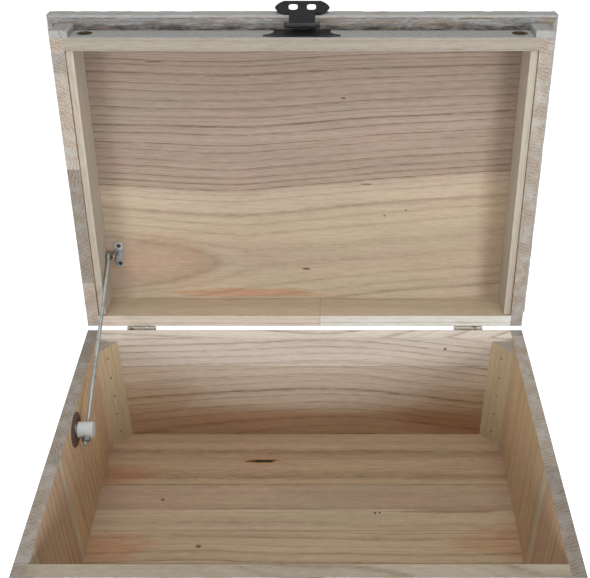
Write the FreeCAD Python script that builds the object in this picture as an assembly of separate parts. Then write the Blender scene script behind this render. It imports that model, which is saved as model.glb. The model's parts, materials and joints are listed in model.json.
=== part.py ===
import FreeCAD, Part
import math
import os

# Low wooden storage chest with a hinged lid, shown with the lid open.
# Millimetres. Origin at the centre of the box's underside, +Z up, the front faces -Y.
# Every lid part is drawn with the lid closed and then turned about the hinge axis.

Vector = FreeCAD.Vector
X_AXIS = Vector(1, 0, 0)
Y_AXIS = Vector(0, 1, 0)
Z_AXIS = Vector(0, 0, 1)

# Box
WIDTH = 600.0
DEPTH = 400.0
BOX_HEIGHT = 200.0
BOARD = 16.0
BOTTOM_THICKNESS = 13.0

# Lid
RIM_GAP = 0.8
LID_CAVITY = 50.0
LID_TOP_THICKNESS = 12.0
LID_OPEN_ANGLE = 98.0
BATTEN_THICKNESS = 9.0
BATTEN_SIDE_GAP = 0.8
BATTEN_END_GAP = 1.0
BATTEN_RECESS = 2.5
RECESS_RADIUS = 10.0
RECESS_DEPTH = 12.0
RECESS_X = 263.0
RECESS_ABOVE_RIM = 22.0

# Trim on the outside
STRIP_WIDTH = 22.0
STRIP_PROUD = 8.5
FRONT_MOULDING_PROUD = 18.0
SIDE_MOULDING_PROUD = 11.5
MOULDING_HEIGHT = 26.5
MOULDING_CHAMFER = 3.0

# Glue joints between boards
LEFT_JOINTS_Y = [-181.0, -157.0, -45.0, -32.0, 132.0]
RIGHT_JOINTS_Y = [-65.0, -47.0, 187.0]
FRONT_JOINTS_Z = [74.0, 147.0]
BACK_JOINT_Z = 147.0
BOTTOM_JOINTS_Y = [-140.0, -96.0, -44.0, 8.0, 44.0, 88.0]
BACK_WALL_BUTT_X = 80.0
BACK_RAIL_BUTT_X = 21.0

# Corner blocks and their brads
BLOCK_LEG = 27.0
BLOCK_BELOW_RIM = 7.0
BRAD_HEIGHTS = [33.0, 68.0, 103.0, 138.0, 173.0]
BRAD_RADIUS = 0.8
BRAD_HEAD_RADIUS = 1.4
BRAD_LENGTH = 28.0
BRAD_SUNK = 0.6

# Butt hinges
HINGE_X = 226.0
HINGE_WIDTH = 38.0
HINGE_OFFSET = 3.5
KNUCKLE_RADIUS = 3.1
KNUCKLE_COUNT = 5
KNUCKLE_GAP = 0.3
KNUCKLE_RELIEF = 0.75
LEAF_THICKNESS = 1.2
LEAF_HEIGHT = 20.0
LEAF_SCREW_SPACING = 22.0
LEAF_SCREW_OFFSET = 13.0
HINGE_PIN_RADIUS = 1.4
PIN_CLEARANCE = 0.05
PIN_HEAD_RADIUS = 2.3
PIN_HEAD_THICKNESS = 0.8

# Hasp
HASP_PLATE_THICKNESS = 1.5
HASP_PLATE_BOTTOM = 2.0
HASP_PLATE_TOP = 35.0
HASP_PLATE_HALF = 34.5
HASP_TIP_HALF = 48.5
HASP_PIN_OUT = 10.5
HASP_PIN_ABOVE_RIM = 17.0
HASP_PIN_RADIUS = 2.0
HASP_EAR_X = 20.0
HASP_EAR_THICKNESS = 1.6
HASP_EAR_RADIUS = 4.0
FLAP_THICKNESS = 2.0
FLAP_KNUCKLE_RADIUS = 3.3
FLAP_KNUCKLE_HALF = 18.5
FLAP_NECK_WIDTH = 31.5
FLAP_HEAD_WIDTH = 67.0
FLAP_HEAD_START = 23.0
FLAP_LENGTH = 48.7
FLAP_HEAD_FLAT = 45.0
FLAP_BULGE = 1.6
SLOT_X = 11.2
SLOT_WIDTH = 11.0
SLOT_LENGTH = 14.2
SLOT_CORNER = 4.0
SLOT_FROM_PIN = 37.2
FLAP_LEAN = 22.5

# Catch on the box
CATCH_WIDTH = 52.0
CATCH_HEIGHT = 36.0
STAPLE_WIRE = 3.0
STAPLE_HEIGHT = 11.0
STAPLE_REACH = 24.0

# Lid stay
STAY_X = -270.0
STAY_LID_FROM_BACK = 86.0
STAY_LID_ABOVE_RIM = 40.0
SWIVEL_Y = 32.0
SWIVEL_BELOW_RIM = 22.0
ROD_RADIUS = 2.5
ROD_EYE_RADIUS = 6.0
ROD_EYE_THICKNESS = 4.0
ROD_BEYOND_SWIVEL = 20.0
BARREL_RADIUS = 10.0
BARREL_LENGTH = 19.6
BARREL_CHAMFER = 1.2
STAY_PIN_RADIUS = 3.0
DISC_RADIUS = 22.0
DISC_THICKNESS = 1.0
FLANGE_RADIUS = 9.5
FLANGE_THICKNESS = 1.6
STOP_NUT_FLATS = 9.5
STOP_NUT_THICKNESS = 4.5
REST_GAP = 0.3
BRACKET_LENGTH = 37.0
BRACKET_THICKNESS = 1.5
BRACKET_INNER_X = -252.0
BRACKET_EAR_X = -263.5
BRACKET_SCREW_SPACING = 27.0
RIVET_RADIUS = 2.0
RIVET_HEAD_RADIUS = 3.6
RIVET_HEAD_THICKNESS = 1.2
RIVET_AIR_GAP = 0.6

# Derived places
HALF_W = WIDTH / 2
HALF_D = DEPTH / 2
INNER_X = HALF_W - BOARD
INNER_Y = HALF_D - BOARD
RIM_Z = BOX_HEIGHT + RIM_GAP
PANEL_Z = RIM_Z + LID_CAVITY
TOP_Z = PANEL_Z + LID_TOP_THICKNESS
HINGE_Y = HALF_D + HINGE_OFFSET
HINGE_Z = BOX_HEIGHT + RIM_GAP / 2
MOULDING_Z = TOP_Z - MOULDING_HEIGHT
HASP_PIN_Y = -HALF_D - HASP_PIN_OUT
HASP_PIN_Z = RIM_Z + HASP_PIN_ABOVE_RIM
STAPLE_Z = HASP_PIN_Z - SLOT_FROM_PIN
SWIVEL_Z = BOX_HEIGHT - SWIVEL_BELOW_RIM
EYE_CLOSED = Vector(STAY_X, HALF_D - STAY_LID_FROM_BACK, RIM_Z + STAY_LID_ABOVE_RIM)
SWIVEL = Vector(STAY_X, SWIVEL_Y, SWIVEL_Z)


def block(x0, x1, y0, y1, z0, z1):
    return Part.makeBox(x1 - x0, y1 - y0, z1 - z0, Vector(x0, y0, z0))


def prism(points, direction):
    return Part.Face(Part.makePolygon(points + [points[0]])).extrude(direction)


def rounded(shape, direction, radius):
    """Round every edge that runs along the given direction."""
    edges = []
    for edge in shape.Edges:
        if abs(edge.tangentAt(edge.FirstParameter).dot(direction)) > 0.999:
            edges.append(edge)
    return shape.makeFillet(radius, edges)


def turned(shape, degrees):
    """Turn a shape about the lid's hinge axis."""
    moved = shape.copy()
    moved.rotate(Vector(0, HINGE_Y, HINGE_Z), X_AXIS, degrees)
    return moved


def opened(shape):
    return turned(shape, -LID_OPEN_ANGLE)


def save(name, solids):
    Part.makeCompound(solids).exportStep("parts/" + name + ".step")


def save_lid(name, solids):
    save(name, [opened(solid) for solid in solids])


def spans(low, joints, high):
    ends = [low] + joints + [high]
    return list(zip(ends[:-1], ends[1:]))


# ---- screws ----

def screw_body(head, direction, head_radius, sink, length):
    """Countersunk screw with its flat head at `head`, running along `direction`."""
    shank_radius = head_radius * 0.5
    tip = shank_radius * 2
    cone = Part.makeCone(head_radius, shank_radius, sink, head, direction)
    shank = Part.makeCylinder(shank_radius, length - tip, head, direction)
    point = Part.makeCone(shank_radius, 0.2, tip, head + direction * (length - tip), direction)
    return cone.fuse([shank, point]).removeSplitter()


def screw(head, direction, head_radius, sink, length):
    """The same screw with a cross recess in its head."""
    side = X_AXIS if abs(direction.x) < 0.5 else Y_AXIS
    recess_half = head_radius * 0.6
    recess_depth = sink * 0.6
    body = screw_body(head, direction, head_radius, sink, length)
    for across in (side, direction.cross(side)):
        along = direction.cross(across)
        corner = head - across * recess_half - along * 0.3
        points = [corner, corner + across * 2 * recess_half,
                  corner + across * 2 * recess_half + along * 0.6, corner + along * 0.6]
        body = body.cut(prism(points, direction * recess_depth))
    return body


# ---- box ----

def front_wall_boards():
    boards = []
    for z0, z1 in spans(0, FRONT_JOINTS_Z, BOX_HEIGHT):
        boards.append(block(-INNER_X, INNER_X, -HALF_D, -INNER_Y, z0, z1))
    return boards


def back_wall_boards():
    """One wide board below, and above it a narrow row of two boards that butt end to end."""
    boards = [block(-INNER_X, INNER_X, INNER_Y, HALF_D, 0, BACK_JOINT_Z)]
    for x0, x1 in spans(-INNER_X, [BACK_WALL_BUTT_X], INNER_X):
        boards.append(block(x0, x1, INNER_Y, HALF_D, BACK_JOINT_Z, BOX_HEIGHT))
    return boards


def side_boards(side, joints, z0, z1):
    x0, x1 = sorted((side * INNER_X, side * HALF_W))
    return [block(x0, x1, y0, y1, z0, z1) for y0, y1 in spans(-HALF_D, joints, HALF_D)]


def bottom_boards():
    boards = []
    for y0, y1 in spans(-INNER_Y, BOTTOM_JOINTS_Y, INNER_Y):
        boards.append(block(-INNER_X, INNER_X, y0, y1, 0, BOTTOM_THICKNESS))
    return boards


def corner_block(side):
    height = BOX_HEIGHT - BLOCK_BELOW_RIM - BOTTOM_THICKNESS
    corner = Vector(side * INNER_X, INNER_Y, BOTTOM_THICKNESS)
    points = [corner, corner - Vector(side * BLOCK_LEG, 0, 0), corner - Vector(0, BLOCK_LEG, 0)]
    return prism(points, Z_AXIS * height)


def brad(side, z):
    """Small nail driven square through a corner block's sloping face into the corner."""
    direction = Vector(side, 1, 0).normalize()
    face = Vector(side * (INNER_X - BLOCK_LEG / 2), INNER_Y - BLOCK_LEG / 2, z)
    head = face + direction * BRAD_SUNK
    shank = Part.makeCylinder(BRAD_RADIUS, BRAD_LENGTH, head, direction)
    cap = Part.makeCylinder(BRAD_HEAD_RADIUS, BRAD_RADIUS, head, direction)
    return shank.fuse(cap)


def brad_hole(side, z):
    direction = Vector(side, 1, 0).normalize()
    face = Vector(side * (INNER_X - BLOCK_LEG / 2), INNER_Y - BLOCK_LEG / 2, z)
    return Part.makeCylinder(BRAD_HEAD_RADIUS, BRAD_SUNK + BRAD_RADIUS + 1, face - direction, direction)


def bored_corner_block(side):
    return corner_block(side).cut([brad_hole(side, z) for z in BRAD_HEIGHTS])


def corner_strip(side, z0, z1):
    x0, x1 = sorted((side * HALF_W, side * (HALF_W - STRIP_WIDTH)))
    return block(x0, x1, -HALF_D - STRIP_PROUD, -HALF_D, z0, z1)


# ---- hinges ----

def knuckles(x_centre, first):
    """Every second knuckle, from number `first`, as x spans."""
    pitch = HINGE_WIDTH / KNUCKLE_COUNT
    left = x_centre - HINGE_WIDTH / 2
    return [(left + i * pitch, left + (i + 1) * pitch) for i in range(first, KNUCKLE_COUNT, 2)]


def along_hinge(radius, x0, x1):
    return Part.makeCylinder(radius, x1 - x0, Vector(x0, HINGE_Y, HINGE_Z), X_AXIS)


def leaf_screw_heads(x_centre, up):
    z = HINGE_Z + up * LEAF_SCREW_OFFSET
    y = HALF_D + LEAF_THICKNESS
    return [Vector(x_centre + s * LEAF_SCREW_SPACING / 2, y, z) for s in (-1, 1)]


def hinge_leaf(x_centre, up):
    """A leaf on the back face: up is -1 on the box and +1 on the closed lid."""
    own = knuckles(x_centre, 0 if up < 0 else 1)
    other = knuckles(x_centre, 1 if up < 0 else 0)
    half = HINGE_WIDTH / 2
    z0, z1 = sorted((HINGE_Z, HINGE_Z + up * LEAF_HEIGHT))
    leaf = block(x_centre - half, x_centre + half, HALF_D, HALF_D + LEAF_THICKNESS, z0, z1)
    relief = KNUCKLE_RADIUS + KNUCKLE_RELIEF
    leaf = leaf.cut([along_hinge(relief, x0 - KNUCKLE_GAP, x1 + KNUCKLE_GAP) for x0, x1 in other])
    rolls = []
    for x0, x1 in own:
        start = x0 + (KNUCKLE_GAP / 2 if x0 > x_centre - half + 1 else 0)
        end = x1 - (KNUCKLE_GAP / 2 if x1 < x_centre + half - 1 else 0)
        rolls.append(along_hinge(KNUCKLE_RADIUS, start, end))
    leaf = leaf.fuse(rolls)
    leaf = leaf.cut(along_hinge(HINGE_PIN_RADIUS + PIN_CLEARANCE, x_centre - half - 1, x_centre + half + 1))
    for head in leaf_screw_heads(x_centre, up):
        leaf = leaf.cut(leaf_screw_body(head))
    return leaf.removeSplitter()


def leaf_screw_body(head):
    return screw_body(head, -Y_AXIS, 3.0, LEAF_THICKNESS, 12.0)


def leaf_screw(head):
    return screw(head, -Y_AXIS, 3.0, LEAF_THICKNESS, 12.0)


def hinge_pin(x_centre):
    half = HINGE_WIDTH / 2
    shaft = along_hinge(HINGE_PIN_RADIUS, x_centre - half, x_centre + half)
    left = along_hinge(PIN_HEAD_RADIUS, x_centre - half - PIN_HEAD_THICKNESS, x_centre - half)
    right = along_hinge(PIN_HEAD_RADIUS, x_centre + half, x_centre + half + PIN_HEAD_THICKNESS)
    return shaft.fuse([left, right])


# ---- lid ----

def lid_rail(y0, y1, joints):
    return [block(x0, x1, y0, y1, RIM_Z, PANEL_Z) for x0, x1 in spans(-INNER_X, joints, INNER_X)]


def front_rail():
    rail = lid_rail(-HALF_D, -INNER_Y, [])[0]
    for side in (-1, 1):
        mouth = Vector(side * RECESS_X, -HALF_D, RIM_Z + RECESS_ABOVE_RIM)
        rail = rail.cut(Part.makeCylinder(RECESS_RADIUS, RECESS_DEPTH, mouth, Y_AXIS))
    return rail


def lid_top_panel():
    return block(-HALF_W, HALF_W, -HALF_D, HALF_D, PANEL_Z, TOP_Z)


def lid_batten(side):
    outer = INNER_X - BATTEN_SIDE_GAP
    x0, x1 = sorted((side * outer, side * (outer - BATTEN_THICKNESS)))
    reach = INNER_Y - BATTEN_END_GAP
    return block(x0, x1, -reach, reach, RIM_Z + BATTEN_RECESS, PANEL_Z)


def front_moulding():
    """Strip along the front edge, mitred at both ends and chamfered below."""
    outer_x = HALF_W + SIDE_MOULDING_PROUD
    outer_y = -HALF_D - FRONT_MOULDING_PROUD
    plan = [Vector(-HALF_W, -HALF_D, MOULDING_Z), Vector(HALF_W, -HALF_D, MOULDING_Z),
            Vector(outer_x, outer_y, MOULDING_Z), Vector(-outer_x, outer_y, MOULDING_Z)]
    wedge = [Vector(-outer_x - 1, outer_y, MOULDING_Z),
             Vector(-outer_x - 1, outer_y + MOULDING_CHAMFER, MOULDING_Z),
             Vector(-outer_x - 1, outer_y, MOULDING_Z + MOULDING_CHAMFER)]
    return prism(plan, Z_AXIS * MOULDING_HEIGHT).cut(prism(wedge, X_AXIS * 2 * (outer_x + 1)))


def side_moulding(side):
    outer_x = side * (HALF_W + SIDE_MOULDING_PROUD)
    outer_y = -HALF_D - FRONT_MOULDING_PROUD
    plan = [Vector(side * HALF_W, -HALF_D, MOULDING_Z), Vector(outer_x, outer_y, MOULDING_Z),
            Vector(outer_x, HALF_D, MOULDING_Z), Vector(side * HALF_W, HALF_D, MOULDING_Z)]
    wedge = [Vector(outer_x, outer_y - 1, MOULDING_Z),
             Vector(outer_x - side * MOULDING_CHAMFER, outer_y - 1, MOULDING_Z),
             Vector(outer_x, outer_y - 1, MOULDING_Z + MOULDING_CHAMFER)]
    return prism(plan, Z_AXIS * MOULDING_HEIGHT).cut(prism(wedge, Y_AXIS * (DEPTH + FRONT_MOULDING_PROUD + 2)))


# ---- hasp ----

def hasp_ear(x):
    x0 = x - HASP_EAR_THICKNESS / 2
    z0 = HASP_PIN_Z - HASP_EAR_RADIUS
    web = block(x0, x0 + HASP_EAR_THICKNESS, HASP_PIN_Y, -HALF_D, z0, z0 + 2 * HASP_EAR_RADIUS)
    nose = Part.makeCylinder(HASP_EAR_RADIUS, HASP_EAR_THICKNESS, Vector(x0, HASP_PIN_Y, HASP_PIN_Z), X_AXIS)
    return web.fuse(nose)


def hasp_screw_heads():
    y = -HALF_D - HASP_PLATE_THICKNESS
    places = [(-29.0, 30.0), (29.0, 30.0), (-32.0, 8.0), (32.0, 8.0)]
    return [Vector(x, y, RIM_Z + b) for x, b in places]


def plate_screw_body(head):
    return screw_body(head, Y_AXIS, 2.8, HASP_PLATE_THICKNESS, 12.0)


def plate_screw(head):
    return screw(head, Y_AXIS, 2.8, HASP_PLATE_THICKNESS, 12.0)


def hasp_base_plate():
    """Plate with a pointed wing at each lower corner and two ears that hold the pin."""
    outline = [(-HASP_PLATE_HALF + 3, HASP_PLATE_BOTTOM), (-HASP_TIP_HALF, HASP_PLATE_BOTTOM + 4),
               (-HASP_PLATE_HALF - 3, HASP_PLATE_BOTTOM + 12), (-HASP_PLATE_HALF, HASP_PLATE_BOTTOM + 17),
               (-HASP_PLATE_HALF, HASP_PLATE_TOP)]
    outline = outline + [(-x, b) for x, b in reversed(outline)]
    points = [Vector(x, -HALF_D - HASP_PLATE_THICKNESS, RIM_Z + b) for x, b in outline]
    plate = rounded(prism(points, Y_AXIS * HASP_PLATE_THICKNESS), Y_AXIS, 1.5)
    plate = plate.fuse([hasp_ear(-HASP_EAR_X), hasp_ear(HASP_EAR_X)])
    plate = plate.cut(hasp_pin())
    return plate.cut([plate_screw_body(head) for head in hasp_screw_heads()])


def hasp_pin():
    half = HASP_EAR_X + HASP_EAR_THICKNESS / 2
    start = Vector(-half, HASP_PIN_Y, HASP_PIN_Z)
    shaft = Part.makeCylinder(HASP_PIN_RADIUS, 2 * half, start, X_AXIS)
    left = Part.makeCylinder(HASP_PIN_RADIUS + 0.9, 0.8, start - X_AXIS * 0.8, X_AXIS)
    right = Part.makeCylinder(HASP_PIN_RADIUS + 0.9, 0.8, start + X_AXIS * 2 * half, X_AXIS)
    return shaft.fuse([left, right])


def flap_end(side, start, finish, thickness):
    """One end of the flap's head: two bulging edges that meet in a point."""
    flat, tip = FLAP_HEAD_FLAT / 2, FLAP_HEAD_WIDTH / 2
    middle = (start + finish) / 2
    y = HASP_PIN_Y - thickness / 2
    corners = [Vector(side * flat, y, start), Vector(side * tip, y, middle), Vector(side * flat, y, finish)]
    edges = [Part.makeLine(corners[2], corners[0])]
    for a, b in zip(corners, corners[1:]):
        outward = Vector(side * abs(b.z - a.z), 0, 0) + Z_AXIS * (abs(b.x - a.x) * (1 if b is corners[2] else -1))
        crown = (a + b) / 2 + outward.normalize() * FLAP_BULGE
        edges.append(Part.Arc(a, crown, b).toShape())
    return Part.Face(Part.Wire(Part.__sortEdges__(edges))).extrude(Y_AXIS * thickness)


def hasp_flap():
    """Flap drawn upright above its pin, then leaned back onto the moulding."""
    y0 = HASP_PIN_Y - FLAP_THICKNESS / 2
    y1 = y0 + FLAP_THICKNESS
    z = HASP_PIN_Z
    neck_half = FLAP_NECK_WIDTH / 2
    neck = block(-neck_half, neck_half, y0, y1, z, z + FLAP_HEAD_START + 2)
    start, finish = z + FLAP_HEAD_START, z + FLAP_LENGTH
    head = block(-FLAP_HEAD_FLAT / 2, FLAP_HEAD_FLAT / 2, y0, y1, start, finish)
    ends = [flap_end(side, start, finish, FLAP_THICKNESS) for side in (-1, 1)]
    centre = Vector(-FLAP_KNUCKLE_HALF, HASP_PIN_Y, z)
    knuckle = Part.makeCylinder(FLAP_KNUCKLE_RADIUS, 2 * FLAP_KNUCKLE_HALF, centre, X_AXIS)
    flap = neck.fuse([head, knuckle] + ends)
    flap = flap.cut(Part.makeCylinder(HASP_PIN_RADIUS + PIN_CLEARANCE, 2 * FLAP_KNUCKLE_HALF, centre, X_AXIS))
    for side in (-1, 1):
        x0 = side * SLOT_X - SLOT_WIDTH / 2
        z0 = z + SLOT_FROM_PIN - SLOT_LENGTH / 2
        slot = block(x0, x0 + SLOT_WIDTH, y0 - 1, y1 + 1, z0, z0 + SLOT_LENGTH)
        flap = flap.cut(rounded(slot, Y_AXIS, SLOT_CORNER))
    flap = flap.removeSplitter()
    flap.rotate(Vector(0, HASP_PIN_Y, HASP_PIN_Z), X_AXIS, FLAP_LEAN)
    return flap


def catch_screw_heads():
    y = -HALF_D - HASP_PLATE_THICKNESS
    dx = CATCH_WIDTH / 2 - 5.5
    dz = CATCH_HEIGHT / 2 - 5.5
    return [Vector(i * dx, y, STAPLE_Z + k * dz) for i in (-1, 1) for k in (-1, 1)]


def catch_staple(x):
    """U of round wire whose legs go through the catch plate into the front wall."""
    half = (STAPLE_HEIGHT - STAPLE_WIRE) / 2
    radius = STAPLE_WIRE / 2
    bend_y = -HALF_D - STAPLE_REACH + STAPLE_HEIGHT / 2
    leg_length = -HALF_D + BOARD / 2 - bend_y
    legs = [Part.makeCylinder(radius, leg_length, Vector(x, bend_y, STAPLE_Z + s * half), Y_AXIS) for s in (-1, 1)]
    section = Part.Face(Part.Wire(Part.makeCircle(radius, Vector(x, bend_y, STAPLE_Z + half), Y_AXIS)))
    bend = section.revolve(Vector(x, bend_y, STAPLE_Z), X_AXIS, 180)
    return bend.fuse(legs).removeSplitter()


def catch_plate():
    y0 = -HALF_D - HASP_PLATE_THICKNESS
    half = CATCH_HEIGHT / 2
    plate = block(-CATCH_WIDTH / 2, CATCH_WIDTH / 2, y0, -HALF_D, STAPLE_Z - half, STAPLE_Z + half)
    plate = rounded(plate, Y_AXIS, 4.0)
    plate = plate.cut([plate_screw_body(head) for head in catch_screw_heads()])
    return plate.cut([catch_staple(-SLOT_X), catch_staple(SLOT_X)])


# ---- lid stay ----

def eye_open():
    point = Part.Vertex(EYE_CLOSED)
    return opened(point).Point


def rod_direction():
    return (SWIVEL - eye_open()).normalize()


def stay_wall_side():
    """x of the barrel's end that faces the left wall."""
    return -INNER_X + DISC_THICKNESS + FLANGE_THICKNESS + REST_GAP


def stay_backing_disc():
    centre = Vector(-INNER_X, SWIVEL_Y, SWIVEL_Z)
    return Part.makeCylinder(DISC_RADIUS, DISC_THICKNESS, centre, X_AXIS).cut(stay_pivot_screw())


def stay_flange():
    centre = Vector(-INNER_X + DISC_THICKNESS, SWIVEL_Y, SWIVEL_Z)
    return Part.makeCylinder(FLANGE_RADIUS, FLANGE_THICKNESS, centre, X_AXIS).cut(stay_pivot_screw())


def stay_pivot_screw():
    """Stud from the wall that the barrel turns on; it ends short of the rod."""
    start = Vector(-INNER_X - BOARD * 0.75, SWIVEL_Y, SWIVEL_Z)
    end_x = STAY_X - ROD_RADIUS - 2.5
    return Part.makeCylinder(STAY_PIN_RADIUS, end_x - start.x, start, X_AXIS)


def stay_barrel():
    start = Vector(stay_wall_side(), SWIVEL_Y, SWIVEL_Z)
    barrel = Part.makeCylinder(BARREL_RADIUS, BARREL_LENGTH, start, X_AXIS)
    barrel = barrel.makeChamfer(BARREL_CHAMFER, [e for e in barrel.Edges if e.Closed])
    pin_hole_end = STAY_X - ROD_RADIUS - 2.0
    barrel = barrel.cut(Part.makeCylinder(STAY_PIN_RADIUS + PIN_CLEARANCE, pin_hole_end - start.x, start, X_AXIS))
    along = rod_direction()
    hole_start = SWIVEL - along * 2 * BARREL_RADIUS
    return barrel.cut(Part.makeCylinder(ROD_RADIUS + PIN_CLEARANCE, 4 * BARREL_RADIUS, hole_start, along))


def stay_rod():
    eye = eye_open()
    along = rod_direction()
    length = (SWIVEL - eye).Length + ROD_BEYOND_SWIVEL
    shaft = Part.makeCylinder(ROD_RADIUS, length, eye, along)
    shaft = shaft.makeChamfer(0.6, [shaft.Edges[2]])
    eye_start = eye - X_AXIS * ROD_EYE_THICKNESS / 2
    ring = Part.makeCylinder(ROD_EYE_RADIUS, ROD_EYE_THICKNESS, eye_start, X_AXIS)
    hole = Part.makeCylinder(RIVET_RADIUS, 4 * ROD_RADIUS, eye - X_AXIS * 2 * ROD_RADIUS, X_AXIS)
    return shaft.fuse(ring).removeSplitter().cut(hole)


def stay_eye_rivet():
    """The rod's half of the pivot rivet."""
    eye = eye_open()
    head_start = eye - X_AXIS * (ROD_RADIUS + RIVET_HEAD_THICKNESS)
    shank_end = eye.x + ROD_RADIUS - 0.1
    shank_start = eye - X_AXIS * ROD_RADIUS
    head = Part.makeCylinder(RIVET_HEAD_RADIUS, RIVET_HEAD_THICKNESS, head_start, X_AXIS)
    return head.fuse(Part.makeCylinder(RIVET_RADIUS, shank_end - shank_start.x, shank_start, X_AXIS))


def stay_nut():
    along = rod_direction()
    centre = SWIVEL + along * (BARREL_RADIUS + REST_GAP)
    corner = STOP_NUT_FLATS / math.sqrt(3)
    across = along.cross(X_AXIS)
    points = []
    for i in range(6):
        angle = math.radians(60 * i + 30)
        points.append(centre + X_AXIS * (corner * math.cos(angle)) + across * (corner * math.sin(angle)))
    nut = prism(points, along * STOP_NUT_THICKNESS)
    return nut.cut(Part.makeCylinder(ROD_RADIUS, STOP_NUT_THICKNESS, centre, along))


def bracket_screw_heads():
    x = (BRACKET_INNER_X + BRACKET_EAR_X + BRACKET_THICKNESS) / 2
    z = PANEL_Z - BRACKET_THICKNESS
    half = BRACKET_SCREW_SPACING / 2
    return [Vector(x, EYE_CLOSED.y + s * half, z) for s in (-1, 1)]


def stay_bracket():
    """Plate under the lid panel with an ear folded towards the rim."""
    half = BRACKET_LENGTH / 2
    y = EYE_CLOSED.y
    plate = block(BRACKET_EAR_X, BRACKET_INNER_X, y - half, y + half, PANEL_Z - BRACKET_THICKNESS, PANEL_Z)
    plate = rounded(plate, Z_AXIS, 2.0)
    ear_half = ROD_EYE_RADIUS
    ear = block(BRACKET_EAR_X, BRACKET_EAR_X + BRACKET_THICKNESS, y - ear_half, y + ear_half, EYE_CLOSED.z, PANEL_Z)
    nose_start = Vector(BRACKET_EAR_X, y, EYE_CLOSED.z)
    nose = Part.makeCylinder(ear_half, BRACKET_THICKNESS, nose_start, X_AXIS)
    bracket = plate.fuse([ear, nose]).cut(lid_rivet())
    return bracket.cut([bracket_screw_body(head) for head in bracket_screw_heads()]).removeSplitter()


def bracket_screw_body(head):
    return screw_body(head, Z_AXIS, 3.0, BRACKET_THICKNESS, 10.0)


def bracket_screw(head):
    return screw(head, Z_AXIS, 3.0, BRACKET_THICKNESS, 10.0)


def lid_rivet():
    """The bracket's half of the pivot rivet, which stops just short of the rod."""
    start_x = STAY_X + ROD_RADIUS + RIVET_AIR_GAP - 0.1
    end_x = BRACKET_EAR_X + BRACKET_THICKNESS
    start = Vector(start_x, EYE_CLOSED.y, EYE_CLOSED.z)
    shank = Part.makeCylinder(RIVET_RADIUS, end_x - start_x, start, X_AXIS)
    head = Part.makeCylinder(RIVET_HEAD_RADIUS, RIVET_HEAD_THICKNESS, Vector(end_x, start.y, start.z), X_AXIS)
    return shank.fuse(head)


# ---- nodes ----

def write_box():
    save("box_front_boards", front_wall_boards())
    save("box_back_boards", back_wall_boards())
    save("box_left_side", side_boards(-1, LEFT_JOINTS_Y, 0, BOX_HEIGHT))
    save("box_right_side", side_boards(1, RIGHT_JOINTS_Y, 0, BOX_HEIGHT))
    save("bottom_boards", bottom_boards())
    save("corner_block_left", [bored_corner_block(-1)])
    save("corner_block_right", [bored_corner_block(1)])
    save("corner_block_brads", [brad(side, z) for side in (-1, 1) for z in BRAD_HEIGHTS])
    save("box_front_strip_left", [corner_strip(-1, 0, BOX_HEIGHT)])
    save("box_front_strip_right", [corner_strip(1, 0, BOX_HEIGHT)])


def write_hinges():
    for side, word in ((-1, "left"), (1, "right")):
        save("hinge_box_leaf_" + word, [hinge_leaf(side * HINGE_X, -1)])
        save_lid("hinge_lid_leaf_" + word, [hinge_leaf(side * HINGE_X, 1)])
    centres = (-HINGE_X, HINGE_X)
    save("hinge_pins", [hinge_pin(x) for x in centres])
    save("hinge_box_screws", [leaf_screw(h) for x in centres for h in leaf_screw_heads(x, -1)])
    save_lid("hinge_lid_screws", [leaf_screw(h) for x in centres for h in leaf_screw_heads(x, 1)])


def write_lid():
    save_lid("lid_top_panel", [lid_top_panel()])
    save_lid("lid_front_rail", [front_rail()])
    save_lid("lid_back_rail", lid_rail(INNER_Y, HALF_D, [BACK_RAIL_BUTT_X]))
    save_lid("lid_left_side", side_boards(-1, LEFT_JOINTS_Y, RIM_Z, PANEL_Z))
    save_lid("lid_right_side", side_boards(1, RIGHT_JOINTS_Y, RIM_Z, PANEL_Z))
    save_lid("lid_left_batten", [lid_batten(-1)])
    save_lid("lid_right_batten", [lid_batten(1)])
    save_lid("front_moulding", [front_moulding()])
    save_lid("left_moulding", [side_moulding(-1)])
    save_lid("right_moulding", [side_moulding(1)])
    save_lid("lid_front_strip_left", [corner_strip(-1, RIM_Z, MOULDING_Z)])
    save_lid("lid_front_strip_right", [corner_strip(1, RIM_Z, MOULDING_Z)])


def write_hasp():
    save_lid("hasp_base_plate", [hasp_base_plate()])
    save_lid("hasp_pin", [hasp_pin()])
    save_lid("hasp_screws", [plate_screw(head) for head in hasp_screw_heads()])
    save_lid("hasp_flap", [hasp_flap()])
    save("catch_plate", [catch_plate()])
    save("catch_staples", [catch_staple(-SLOT_X), catch_staple(SLOT_X)])
    save("catch_screws", [plate_screw(head) for head in catch_screw_heads()])


def write_stay():
    save("stay_backing_disc", [stay_backing_disc()])
    save("stay_flange", [stay_flange()])
    save("stay_pivot_screw", [stay_pivot_screw()])
    save("stay_barrel", [stay_barrel()])
    save("stay_rod", [stay_rod()])
    save("stay_eye_rivet", [stay_eye_rivet()])
    save("stay_nut", [stay_nut()])
    save_lid("stay_bracket", [stay_bracket()])
    save_lid("stay_bracket_rivet", [lid_rivet()])
    save_lid("stay_bracket_screws", [bracket_screw(head) for head in bracket_screw_heads()])


os.makedirs("parts", exist_ok=True)
write_box()
write_hinges()
write_lid()
write_hasp()
write_stay()
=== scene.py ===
import json
import math

import bmesh
import bpy
from mathutils import Matrix, Vector, noise


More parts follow.
